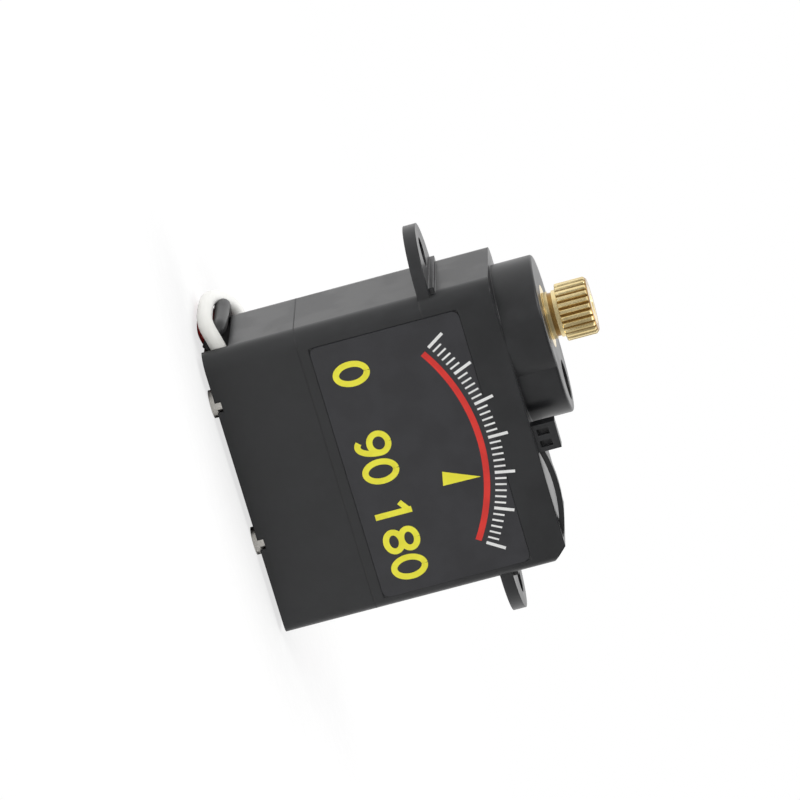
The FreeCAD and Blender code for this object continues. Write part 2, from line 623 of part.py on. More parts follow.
def label():
    """The rounded label that sits in its pocket on the front face."""
    plate = box("label_plate", "case_length - label_near - label_far", "label_thick",
                "label_top - label_bottom", "(label_near - label_far) / 2",
                "(-case_depth / 2 + label_sink - label_thick / 2)", "foot + label_bottom")
    DOC.recompute()
    rounded = DOC.addObject("Part::Fillet", "label")
    rounded.Base = plate
    rounded.Edges = [(number, size("label_corner"), size("label_corner"))
                     for number, edge in enumerate(plate.Shape.Edges, start=1)
                     if edge.BoundBox.YLength > 1e-3]
    return rounded


def output_bush():
    """The brass bush in the boss roof that the output shaft runs in."""
    ring = cylinder("bush_ring", "journal_radius + running_gap + bush_wall", "bush_thick",
                    SHAFT_X, "0", f"{BOSS_TOP} - bush_thick")
    bore = cylinder("bush_bore", "journal_radius + running_gap", "bush_thick + 2", SHAFT_X, "0",
                    f"{BOSS_TOP} - bush_thick - 1")
    return cut("output_bush", ring, bore)


# The lead: three wires that leave the notch side by side, turn round the back corner as a
# bundle and run behind the case into a coil, then from the coil's top into the plug.
# Points are in millimetres and are those of each wire's middle line.
WIRE_ROUTES = {
    "white_wire": [
        (-9.7, -2.45, 1.5), (-10.6, -2.45, 1.55), (-11.3, -1.85, 1.62), (-11.5, -0.9, 1.66),
        (-11.45, 0.7, 1.58), (-11.47, 2.3, 1.5), (-11.45, 3.73, 1.5), (-10.77, 4.92, 1.5),
        (-9.58, 5.6, 1.55), (-7.6, 5.62, 1.75), (-5.2, 5.7, 2.15), (-2.6, 5.9, 2.5),
        (0.0, 6.08, 2.7), (1.6, 6.15, 2.72)],
    "black_wire": [
        (-9.7, -1.3, 0.75), (-10.9, -1.3, 0.58), (-11.85, -0.75, 0.54), (-12.05, 0.45, 0.54),
        (-11.98, 2.2, 0.54), (-12.0, 3.88, 0.54), (-11.17, 5.32, 0.54), (-9.73, 6.15, 0.54),
        (-7.4, 6.2, 0.54), (-4.6, 6.14, 0.54), (-1.6, 6.16, 0.54), (1.6, 6.15, 0.54)],
    "red_wire": [
        (-9.7, 0.0, 0.75), (-10.4, 0.05, 0.6), (-10.85, 0.6, 0.54), (-10.88, 1.5, 0.54),
        (-10.92, 2.6, 0.54), (-10.9, 3.59, 0.54), (-10.36, 4.51, 0.54), (-9.44, 5.05, 0.55),
        (-8.0, 5.08, 0.6), (-5.8, 5.1, 0.9), (-3.2, 5.3, 1.35), (-0.6, 5.75, 1.62),
        (1.6, 6.12, 1.64)],
}
# Each tail leaves the coil's top on the side away from the case and ends in the plug.
TAIL_ROUTES = {
    "white_wire": [(10.1, 16.4, 12.2), (8.6, 18.3, 12.45), (7.0, 19.5, 12.55), (5.5, 19.75, 12.6)],
    "black_wire": [(8.1, 13.9, 11.4), (7.6, 14.9, 12.1), (6.8, 15.6, 12.5), (5.5, 15.75, 12.6)],
    "red_wire": [(8.9, 15.2, 11.7), (8.0, 16.6, 12.2), (6.9, 17.5, 12.5), (5.5, 17.75, 12.6)],
}


def cord_path(points):
    """Straight runs joined by tangent arcs, each as large as its two runs allow."""
    corners = [Vector(*point) for point in points]
    edges = []
    radii = []
    start = corners[0]
    for before, corner, after in zip(corners, corners[1:], corners[2:]):
        arriving = (corner - before).normalize()
        leaving = (after - corner).normalize()
        turn = arriving.getAngle(leaving)
        reach = 0.45 * min((corner - before).Length, (after - corner).Length)
        radii.append(reach / math.tan(turn / 2))
        entry = corner - arriving * reach
        departure = corner + leaving * reach
        inward = (leaving - arriving).normalize()
        middle = corner + inward * (radii[-1] / math.cos(turn / 2) - radii[-1])
        edges.append(Part.LineSegment(start, entry).toShape())
        edges.append(Part.Arc(entry, middle, departure).toShape())
        start = departure
    edges.append(Part.LineSegment(start, corners[-1]).toShape())
    return Part.Wire(edges), radii


def tube(name, points):
    """A plain tube along a cord's path, its volume compared with section times length."""
    path, radii = cord_path(points)
    heading = Vector(*points[1]) - Vector(*points[0])
    ring = Part.Wire(Part.makeCircle(size("wire_radius"), Vector(*points[0]), heading))
    solid = path.makePipeShell([ring], True, True)
    expected = math.pi * size("wire_radius") ** 2 * path.Length
    print(f"{name}: length {path.Length:.1f} mm, radii {min(radii):.2f} to {max(radii):.1f} mm,"
          f" volume ratio {solid.Volume / expected:.4f}")
    return solid


def wires():
    """The three wires, each a tube from the grommet to the coil and a tail into the plug."""
    made = []
    for name, route in WIRE_ROUTES.items():
        item = DOC.addObject("Part::Feature", name)
        item.Shape = Part.Compound([tube(name, route), tube(name + " tail", TAIL_ROUTES[name])])
        made.append(item)
    return made


def lead_ends():
    """Grommet in the notch, the coil's outer shape, and the plug with its three contacts."""
    grommet = box("lead_grommet", "notch_depth - grommet_set", "notch_width - 2 * slip",
                  "notch_height - slip",
                  "(grommet_set + notch_depth - case_length) / 2", "0", "foot")
    coil = cut("lead_coil",
               cylinder("coil_outer", "coil_radius + coil_half", "coil_height", "coil_x",
                        "coil_y", "slip"),
               cylinder("coil_inner", "coil_radius - coil_half", "coil_height + 2", "coil_x",
                        "coil_y", "(-1)"))
    plug_x = "(coil_x + plug_start - plug_length / 2)"
    plug_y = "(coil_y + coil_radius)"
    plug_z = "(coil_height + 0.05)"
    body = box("plug_body", "plug_length", "plug_width", "plug_height", plug_x, plug_y, plug_z)
    front_x = "(coil_x + plug_start - plug_length + contact_depth / 2)"
    contacts = []
    sockets = []
    for index, step in enumerate(("(-1)", "0", "1")):
        y = f"({plug_y} + {step} * plug_pitch)"
        z = f"({plug_z} + plug_height / 2 - contact_size / 2)"
        sockets.append(box(f"plug_socket{index}", "contact_depth", "contact_size", "contact_size",
                           front_x, y, z))
        outer = box(f"contact_outer{index}", "contact_depth * 0.8", "contact_size",
                    "contact_size", f"{front_x} + contact_depth * 0.1", y, z)
        inner = box(f"contact_inner{index}", "contact_depth", "contact_size * 0.6",
                    "contact_size * 0.6", front_x, y, f"{z} + contact_size * 0.2")
        contacts.append(cut(f"contact{index}", outer, inner))
    rib = box("plug_rib", "plug_length * 0.55", "plug_width * 0.3", "plug_height * 0.12",
              f"{plug_x} + plug_length * 0.1", plug_y, f"{plug_z} + plug_height * 0.98")
    housing = cut("plug_housing", fuse("plug_blank", body, rib), *sockets)
    return [grommet, coil, housing, group("plug_contacts", *contacts)]


def export(parts):
    """Check every object, then write each sub-part to parts/NODE.step."""
    DOC.recompute()
    failed = [item.Name for item in DOC.Objects
              if "Invalid" in item.State or "Error" in item.State]
    for part in parts:
        if part.Shape.isNull() or not part.Shape.isValid() or not part.Shape.Solids:
            failed.append(part.Label)
    if failed:
        raise SystemExit("these failed: " + ", ".join(failed))
    os.makedirs("parts", exist_ok=True)
    for part in parts:
        part.Shape.exportStep(f"parts/{part.Label}.step")
        box_of = part.Shape.BoundBox
        print(f"{part.Label}: {len(part.Shape.Solids)} solids, {part.Shape.Volume:.2f} mm3, "
              f"x {box_of.XMin:.2f}..{box_of.XMax:.2f} y {box_of.YMin:.2f}..{box_of.YMax:.2f} "
              f"z {box_of.ZMin:.2f}..{box_of.ZMax:.2f}")


def main():
    """Build every sub-part in assembly order and write them out."""
    fill_sheet()
    parts = [bottom_cover(), middle_case(), gear_case(), label(), case_screws(),
             output_shaft(), output_bush(), *gears(), *axles(), *motor(), *sensor(), *board(),
             *wires(), *lead_ends()]
    export(parts)


main()
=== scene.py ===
"""Looks of a micro hobby servo motor: finishes, splined head, dial print, lead and studio."""

import json
import logging
import math
from dataclasses import dataclass, field
from enum import Enum
from typing import Any

import bmesh
import bpy
import numpy as np
from mathutils import Matrix, Vector

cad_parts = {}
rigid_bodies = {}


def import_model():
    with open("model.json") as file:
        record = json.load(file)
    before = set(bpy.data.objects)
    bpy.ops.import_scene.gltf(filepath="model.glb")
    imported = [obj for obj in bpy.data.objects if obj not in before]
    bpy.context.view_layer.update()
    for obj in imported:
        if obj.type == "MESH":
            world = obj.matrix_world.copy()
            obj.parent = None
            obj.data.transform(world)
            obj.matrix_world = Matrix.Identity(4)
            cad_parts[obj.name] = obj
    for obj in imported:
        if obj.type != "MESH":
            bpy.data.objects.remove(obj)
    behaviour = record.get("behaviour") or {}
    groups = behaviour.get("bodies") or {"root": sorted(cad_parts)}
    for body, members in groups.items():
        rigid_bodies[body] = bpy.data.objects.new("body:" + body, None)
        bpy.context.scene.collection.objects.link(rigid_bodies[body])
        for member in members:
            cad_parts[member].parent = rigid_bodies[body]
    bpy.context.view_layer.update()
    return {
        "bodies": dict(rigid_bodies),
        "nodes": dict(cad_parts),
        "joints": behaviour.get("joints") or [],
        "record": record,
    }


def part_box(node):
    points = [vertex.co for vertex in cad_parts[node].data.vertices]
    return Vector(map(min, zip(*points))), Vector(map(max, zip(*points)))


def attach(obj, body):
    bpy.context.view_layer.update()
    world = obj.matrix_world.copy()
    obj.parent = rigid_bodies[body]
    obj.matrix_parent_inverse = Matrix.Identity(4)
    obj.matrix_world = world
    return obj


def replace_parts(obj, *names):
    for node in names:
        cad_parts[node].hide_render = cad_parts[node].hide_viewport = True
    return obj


LOG = logging.getLogger("servo")
MM = 0.001
Colour = tuple[float, float, float]
Point = tuple[float, float, float]


class Grain(Enum):
    """How a finish's fine relief runs over the surface."""

    MOULDED = "moulded"
    TURNED = "turned"
    BRUSHED = "brushed"
    SPECKLED = "speckled"


class Ink(Enum):
    """The three inks of the dial print, in the order of its material slots."""

    WHITE = 0
    YELLOW = 1
    RED = 2


# ---------------------------------------------------------------------------- meshes


def grid_mesh(name: str, points: np.ndarray, wrap: bool) -> bpy.types.Mesh:
    """Make a mesh from a grid of points, one four-sided face to a cell.

    The face at (row, column) joins that point to the next column's and the next row's.

    Args:
        name: the mesh's name.
        points: metres, shaped (rows, columns, 3).
        wrap: whether the last column meets the first.

    Returns:
        The mesh, its coincident points merged and its faces turned outwards.
    """
    index = np.arange(points.shape[0] * points.shape[1]).reshape(points.shape[:2])
    left = index if wrap else index[:, :-1]
    right = np.roll(index, -1, axis=1) if wrap else index[:, 1:]
    faces = np.stack([left[:-1], right[:-1], right[1:], left[1:]], axis=-1).reshape(-1, 4)
    mesh = bpy.data.meshes.new(name)
    mesh.from_pydata(points.reshape(-1, 3).tolist(), [], faces.tolist())
    shell = bmesh.new()
    shell.from_mesh(mesh)
    bmesh.ops.remove_doubles(shell, verts=shell.verts, dist=1e-8)
    bmesh.ops.recalc_face_normals(shell, faces=shell.faces)
    shell.to_mesh(mesh)
    shell.free()
    return mesh


def add_piece(name: str, data: bpy.types.ID, body: str) -> bpy.types.Object:
    """Link a mesh or curve as a piece of the object that rides on a body.

    Args:
        name: the piece's name.
        data: its mesh or curve, in place.
        body: the CAD body that it moves with.

    Returns:
        The object, at the origin.
    """
    piece = bpy.data.objects.new(name, data)
    bpy.context.scene.collection.objects.link(piece)
    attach(piece, body)
    LOG.info("%s rides on %s", name, body)
    return piece


# ---------------------------------------------------------------------------- shader graphs


class Graph:
    """A node tree with short calls that add nodes and wire them."""

    def __init__(self, tree: bpy.types.NodeTree) -> None:
        """Keep the tree and empty it.

        Args:
            tree: the material's, world's or group's node tree.
        """
        self.tree = tree
        tree.nodes.clear()

    def add(self, kind: str, settings: dict[str, Any] | None = None,
            sockets: dict[str, Any] | None = None) -> bpy.types.Node:
        """Add a node.

        Args:
            kind: the node's type, without its ShaderNode prefix.
            settings: the node's own properties.
            sockets: constants for its inputs, or the outputs that feed them.

        Returns:
            The node.
        """
        node = self.tree.nodes.new("ShaderNode" + kind)
        for name, value in (settings or {}).items():
            setattr(node, name, value)
        for name, value in (sockets or {}).items():
            target = node.inputs[name]
            if isinstance(value, bpy.types.NodeSocket):
                self.tree.links.new(value, target)
            else:
                target.default_value = value
        return node

    def math(self, operation: str, first: Any, second: Any = 0.0) -> bpy.types.NodeSocket:
        """Work out one value from two.

        Args:
            operation: the Math node's operation.
            first: a number or an output.
            second: a number or an output.

        Returns:
            The result's output.
        """
        node = self.add("Math", {"operation": operation}, {0: first, 1: second})
        return node.outputs[0]

    def spread(self, value: bpy.types.NodeSocket, source: tuple[float, float],
               target: tuple[float, float]) -> bpy.types.NodeSocket:
        """Carry a value smoothly from one range to another.

        Args:
            value: the output to carry.
            source: the range that it has.
            target: the range that it gets.

        Returns:
            The carried value's output.
        """
        node = self.add("MapRange", {"interpolation_type": "SMOOTHSTEP"},
                        {"Value": value, "From Min": source[0], "From Max": source[1],
                         "To Min": target[0], "To Max": target[1]})
        return node.outputs["Result"]

    def noise(self, at: bpy.types.NodeSocket, scale: float, detail: float = 2.0
              ) -> bpy.types.NodeSocket:
        """Add a noise.

        Args:
            at: the coordinates that it reads.
            scale: its cells to a metre.
            detail: how many finer layers it has.

        Returns:
            The noise's value.
        """
        node = self.add("TexNoise", {}, {"Vector": at, "Scale": scale, "Detail": detail})
        return node.outputs[0]


def grain_group(grain: Grain, scale: float, axis_x: float) -> bpy.types.NodeTree:
    """Build the shared node group of one grain.

    Height is the fine relief and Tone a slow change over the surface, both from 0 to 1.
    Moulded relief is two noises of which the finer counts a third; turned relief is a noise
    of the height and the radius about an upright axis alone, so it runs in rings; brushed
    relief is a noise stretched twenty times along X; speckled relief is one coarse noise.

    Args:
        grain: the grain.
        scale: its cells to a metre.
        axis_x: where the upright axis of turning stands along X, in metres.

    Returns:
        The group.
    """
    name = f"{grain.value}_grain_{scale:.0f}_{axis_x * 1e6:.0f}"
    if name in bpy.data.node_groups:
        return bpy.data.node_groups[name]
    tree = bpy.data.node_groups.new(name, "ShaderNodeTree")
    for socket in ("Height", "Tone"):
        tree.interface.new_socket(name=socket, in_out="OUTPUT", socket_type="NodeSocketFloat")
    graph = Graph(tree)
    at = graph.add("TexCoord").outputs["Object"]
    if grain is Grain.TURNED:
        moved = graph.add("Mapping", {}, {"Vector": at, "Location": (-axis_x, 0.0, 0.0)})
        parts = graph.add("SeparateXYZ", {}, {"Vector": moved.outputs[0]}).outputs
        flat = graph.add("CombineXYZ", {}, {"X": parts["X"], "Y": parts["Y"]}).outputs[0]
        radius = graph.add("VectorMath", {"operation": "LENGTH"}, {0: flat}).outputs["Value"]
        ring = graph.add("CombineXYZ", {}, {"X": radius, "Z": parts["Z"]}).outputs[0]
        height = graph.noise(ring, scale)
    elif grain is Grain.BRUSHED:
        drawn = graph.add("Mapping", {}, {"Vector": at, "Scale": (0.05, 1.0, 1.0)}).outputs[0]
        height = graph.noise(drawn, scale)
    elif grain is Grain.SPECKLED:
        height = graph.noise(at, scale, 0.0)
    else:
        fine = graph.math("MULTIPLY", graph.noise(at, scale * 3.0), 1 / 3)
        height = graph.math("MULTIPLY_ADD", graph.noise(at, scale), 2 / 3)
        height.node.inputs[2].default_value = 0.0
        graph.tree.links.new(fine, height.node.inputs[2])
    tone = graph.spread(graph.noise(at, scale / 18.0, 3.0), (0.35, 0.65), (0.0, 1.0))
    out = graph.tree.nodes.new("NodeGroupOutput")
    graph.tree.links.new(height, out.inputs["Height"])
    graph.tree.links.new(tone, out.inputs["Tone"])
    return tree


@dataclass(frozen=True)
class Finish:
    """One surface finish, dressed from the shader's own values and a shared grain.

    Colour changes between deep and colour with the grain's tone, and roughness with it.
    """

    slot: str
    colour: Colour
    deep: Colour
    roughness: tuple[float, float]
    metallic: float = 0.0
    grain: Grain = Grain.MOULDED
    grain_scale: float = 5000.0
    relief: float = 0.01 * MM
    strength: float = 0.3
    coat: float = 0.0
    soft_edge: float = 0.0
    axis_x: float = 0.0
    ior: float = 1.5

    def tint(self, graph: Graph, tone: bpy.types.NodeSocket) -> bpy.types.NodeSocket:
        """Mix the finish's two colours by the tone."""
        mix = graph.add("Mix", {"data_type": "RGBA"}, {"Factor": tone})
        mix.inputs[6].default_value = (*self.deep, 1.0)
        mix.inputs[7].default_value = (*self.colour, 1.0)
        return mix.outputs[2]

    def material(self) -> bpy.types.Material:
        """Build the material.

        Returns:
            The material, named after its slot.
        """
        made = bpy.data.materials.new(self.slot)
        made.use_nodes = True
        graph = Graph(made.node_tree)
        group = graph.tree.nodes.new("ShaderNodeGroup")
        group.node_tree = grain_group(self.grain, self.grain_scale, self.axis_x)
        tone = group.outputs["Tone"]
        bump = graph.add("Bump", {}, {"Height": group.outputs["Height"],
                                      "Strength": self.strength, "Distance": self.relief})
        if self.soft_edge > 0.0:
            rounding = graph.add("Bevel", {"samples": 6}, {"Radius": self.soft_edge})
            graph.tree.links.new(rounding.outputs[0], bump.inputs["Normal"])
        shader = graph.add("BsdfPrincipled", {}, {
            "Base Color": self.tint(graph, tone), "Metallic": self.metallic,
            "Roughness": graph.spread(tone, (0.0, 1.0), self.roughness), "IOR": self.ior,
            "Coat Weight": self.coat, "Normal": bump.outputs[0]})
        out = graph.add("OutputMaterial")
        graph.tree.links.new(shader.outputs[0], out.inputs["Surface"])
        return made


@dataclass(frozen=True)
class SplineBrass(Finish):
    """Turned brass whose grooves hold a brown tarnish below the crests' circle."""

    neck_line: float = 1.58 * MM
    head_line: float = 1.90 * MM
    head_low: float = 23.68 * MM
    depth: float = 0.1 * MM
    bore_line: float = 1.3 * MM
    tarnish: Colour = (0.40, 0.235, 0.07)

    def tint(self, graph: Graph, tone: bpy.types.NodeSocket) -> bpy.types.NodeSocket:
        """Darken the brass where it lies below the neck's circle or, on the head, the crests'."""
        brass = super().tint(graph, tone)
        at = graph.add("TexCoord").outputs["Object"]
        moved = graph.add("Mapping", {}, {"Vector": at, "Location": (-self.axis_x, 0.0, 0.0)})
        parts = graph.add("SeparateXYZ", {}, {"Vector": moved.outputs[0]}).outputs
        flat = graph.add("CombineXYZ", {}, {"X": parts["X"], "Y": parts["Y"]}).outputs[0]
        radius = graph.add("VectorMath", {"operation": "LENGTH"}, {0: flat}).outputs["Value"]
        above = graph.math("GREATER_THAN", parts["Z"], self.head_low)
        extra = graph.math("MULTIPLY", above, self.head_line - self.neck_line)
        sunk = graph.math("SUBTRACT", graph.math("ADD", extra, self.neck_line), radius)
        low = graph.spread(sunk, (0.0, self.depth), (0.0, 1.0))
        wall = graph.math("GREATER_THAN", radius, self.bore_line)
        mask = graph.math("MULTIPLY", low, wall)
        mix = graph.add("Mix", {"data_type": "RGBA"}, {"Factor": mask})
        graph.tree.links.new(brass, mix.inputs[6])
        mix.inputs[7].default_value = (*self.tarnish, 1.0)
        return mix.outputs[2]


# ---------------------------------------------------------------------------- finishes


@dataclass
class FinishShelf:
    """Every finish of the servo by material slot, made into a material once each."""

    shaft_x: float
    made: dict[str, bpy.types.Material] = field(default_factory=dict)

    def finishes(self) -> list[Finish]:
        """List the finishes.

        Returns:
            One finish for each slot of the record, and the dial print's three inks.
        """
        brass = dict(metallic=1.0, grain=Grain.TURNED, relief=0.006 * MM, axis_x=self.shaft_x)
        steel = dict(metallic=1.0, grain=Grain.BRUSHED, relief=0.004 * MM)
        rubber = dict(grain_scale=2600.0, relief=0.012 * MM, strength=0.25)
        return [
            Finish("case_plastic", (0.016, 0.0165, 0.018), (0.011, 0.0115, 0.0125),
                   (0.30, 0.36), grain_scale=6500.0, relief=0.012 * MM, strength=0.25,
                   soft_edge=0.12 * MM),
            Finish("label_film", (0.026, 0.026, 0.030), (0.020, 0.020, 0.023), (0.36, 0.44),
                   grain=Grain.SPECKLED, grain_scale=9000.0, relief=0.004 * MM, strength=0.2),
            Finish("screw_steel", (0.72, 0.70, 0.66), (0.60, 0.58, 0.54), (0.24, 0.36), **steel),
            SplineBrass("shaft_brass", (0.92, 0.76, 0.42), (0.84, 0.66, 0.32), (0.17, 0.25),
                        **brass),
            Finish("gear_metal", (0.83, 0.68, 0.38), (0.70, 0.55, 0.28), (0.25, 0.34), **brass),
            Finish("motor_steel", (0.68, 0.69, 0.70), (0.60, 0.61, 0.62), (0.18, 0.28),
                   metallic=1.0, grain=Grain.TURNED, relief=0.004 * MM, axis_x=5.9 * MM),
            Finish("cap_plastic", (0.78, 0.76, 0.70), (0.70, 0.68, 0.61), (0.42, 0.5)),
            Finish("tinned_metal", (0.76, 0.76, 0.75), (0.62, 0.62, 0.61), (0.25, 0.45),
                   metallic=1.0, grain=Grain.SPECKLED, grain_scale=3200.0),
            Finish("sensor_plastic", (0.07, 0.17, 0.40), (0.05, 0.13, 0.33), (0.35, 0.45)),
            Finish("sensor_spindle", (0.80, 0.79, 0.75), (0.74, 0.73, 0.68), (0.35, 0.45)),
            Finish("board_laminate", (0.025, 0.17, 0.085), (0.015, 0.11, 0.055), (0.25, 0.35),
                   grain_scale=4200.0, coat=0.4),
            Finish("chip_epoxy", (0.028, 0.028, 0.03), (0.018, 0.018, 0.02), (0.5, 0.62),
                   grain=Grain.SPECKLED, grain_scale=12000.0),
            Finish("ceramic_tan", (0.56, 0.42, 0.27), (0.47, 0.34, 0.21), (0.35, 0.45)),
            Finish("wire_white", (0.84, 0.84, 0.81), (0.76, 0.755, 0.72), (0.36, 0.46), **rubber),
            Finish("wire_black", (0.020, 0.020, 0.021), (0.013, 0.013, 0.014), (0.36, 0.46),
                   **rubber),
            Finish("wire_red", (0.56, 0.030, 0.022), (0.44, 0.020, 0.016), (0.36, 0.46),
                   **rubber),
            Finish("coil_wires", (0.36, 0.33, 0.32), (0.28, 0.26, 0.25), (0.4, 0.5), **rubber),
            Finish("grommet_rubber", (0.022, 0.022, 0.023), (0.015, 0.015, 0.016), (0.5, 0.6),
                   **rubber),
            Finish("plug_plastic", (0.026, 0.026, 0.028), (0.018, 0.018, 0.02), (0.33, 0.42),
                   soft_edge=0.1 * MM),
            Finish("contact_gold", (0.86, 0.66, 0.30), (0.78, 0.58, 0.24), (0.2, 0.3), **steel),
            Finish("ink_white", (0.84, 0.84, 0.83), (0.76, 0.76, 0.75), (0.4, 0.5),
                   grain=Grain.SPECKLED, grain_scale=16000.0),
            Finish("ink_yellow", (0.88, 0.83, 0.05), (0.82, 0.76, 0.035), (0.4, 0.5),
                   grain=Grain.SPECKLED, grain_scale=16000.0),
            Finish("ink_red", (0.72, 0.030, 0.020), (0.62, 0.022, 0.016), (0.4, 0.5),
                   grain=Grain.SPECKLED, grain_scale=16000.0),
        ]

    def fill(self) -> None:
        """Make every finish's material."""
        for finish in self.finishes():
            self.made[finish.slot] = finish.material()

    def dress_nodes(self, frame: dict[str, Any]) -> None:
        """Give each CAD node the material of its slot.
        """
        for part in frame["record"]["subparts"]:
            mesh = frame["nodes"][part["node"]].data
            mesh.materials.clear()
            mesh.materials.append(self.made[part["material_slot"]])
            LOG.info("%s has %s", part["node"], part["material_slot"])


# ---------------------------------------------------------------------------- output shaft


@dataclass
class SplinedShaft:
    """The brass output shaft, one turned piece with a splined head. Sizes in millimetres."""

    teeth: int = 25
    crest: float = 1.95
    groove: float = 0.16
    groove_half_share: float = 0.34
    bevel: float = 0.18
    head: float = 2.15
    neck: float = 1.6
    neck_base: float = 3.05
    ring_groove: float = 0.12
    ring_width: float = 0.3
    journal: float = 1.5
    journal_base: float = 6.8
    stub: float = 0.75
    socket: float = 0.44
    socket_depth: float = 1.6
    hole: float = 0.65
    hole_depth: float = 3.0
    hole_chamfer: float = 0.12
    samples: int = 16

    def profile(self, low: float, top: float) -> np.ndarray:
        """List the turned profile from the socket's end, round the outside, to the hole's end.

        Args:
            low: the shaft's lower end along Z.
            top: the shaft's upper end along Z.

        Returns:
            Rows of radius and height, with a close second point beside each sharp corner.
        """
        base = top - self.neck_base
        seat = top - self.head
        ring = (base + seat) / 2
        half = self.ring_width / 2
        corners = np.array([
            (0.0, low + self.socket_depth), (self.socket, low + self.socket_depth),
            (self.socket, low), (self.stub, low), (self.stub, top - self.journal_base),
            (self.journal, top - self.journal_base), (self.journal, base), (self.neck, base),
            (self.neck, ring - half), (self.neck - self.ring_groove, ring - half),
            (self.neck - self.ring_groove, ring + half), (self.neck, ring + half),
            (self.neck, seat), (self.crest - 0.04, seat), (self.crest, seat + 0.04),
            (self.crest, top - self.bevel), (self.crest - self.bevel, top),
            (self.hole + self.hole_chamfer, top), (self.hole, top - self.hole_chamfer),
            (self.hole, top - self.hole_depth), (0.0, top - self.hole_depth)])
        steps = np.linspace(0.0, 1.0, 7)[:-1]
        runs = corners[:-1, None] + (corners[1:] - corners[:-1])[:, None] * steps[None, :, None]
        return np.vstack([runs.reshape(-1, 2), corners[-1:]])

    def build(self, shelf: FinishShelf) -> bpy.types.Object:
        """Turn the profile about the shaft's axis and cut the head's grooves.

        The radius at an angle is the profile's, but on the head never more than the crest
        less the groove's depth times a raised cosine of the angle's distance from the
        nearest groove's middle over the groove's half width.

        Args:
            shelf: the finishes.

        Returns:
            The shaft.
        """
        low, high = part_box("output_shaft")
        centre = (low.x + high.x) / 2 / MM
        rows = self.profile(low.z / MM, high.z / MM)
        turn = np.arange(self.teeth * self.samples) / self.samples
        share = np.abs(turn - np.round(turn))
        reach = np.clip(share / self.groove_half_share, 0.0, 1.0)
        dip = self.groove * (0.5 + 0.5 * np.cos(np.pi * reach))
        limit = np.where(rows[:, 1:] > high.z / MM - self.head - 1e-6, self.crest - dip, 9.0)
        radius = np.minimum(rows[:, :1], limit)
        angle = 2 * np.pi * turn / self.teeth
        points = np.stack([centre + radius * np.cos(angle), radius * np.sin(angle),
                           np.broadcast_to(rows[:, 1:], radius.shape)], axis=-1) * MM
        mesh = grid_mesh("splined_shaft", points, wrap=True)
        mesh.shade_smooth()
        mesh.set_sharp_from_angle(angle=math.radians(24))
        mesh.materials.append(shelf.made["shaft_brass"])
        shaft = add_piece("splined_shaft", mesh, "output")
        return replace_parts(shaft, "output_shaft")


# ---------------------------------------------------------------------------- dial print


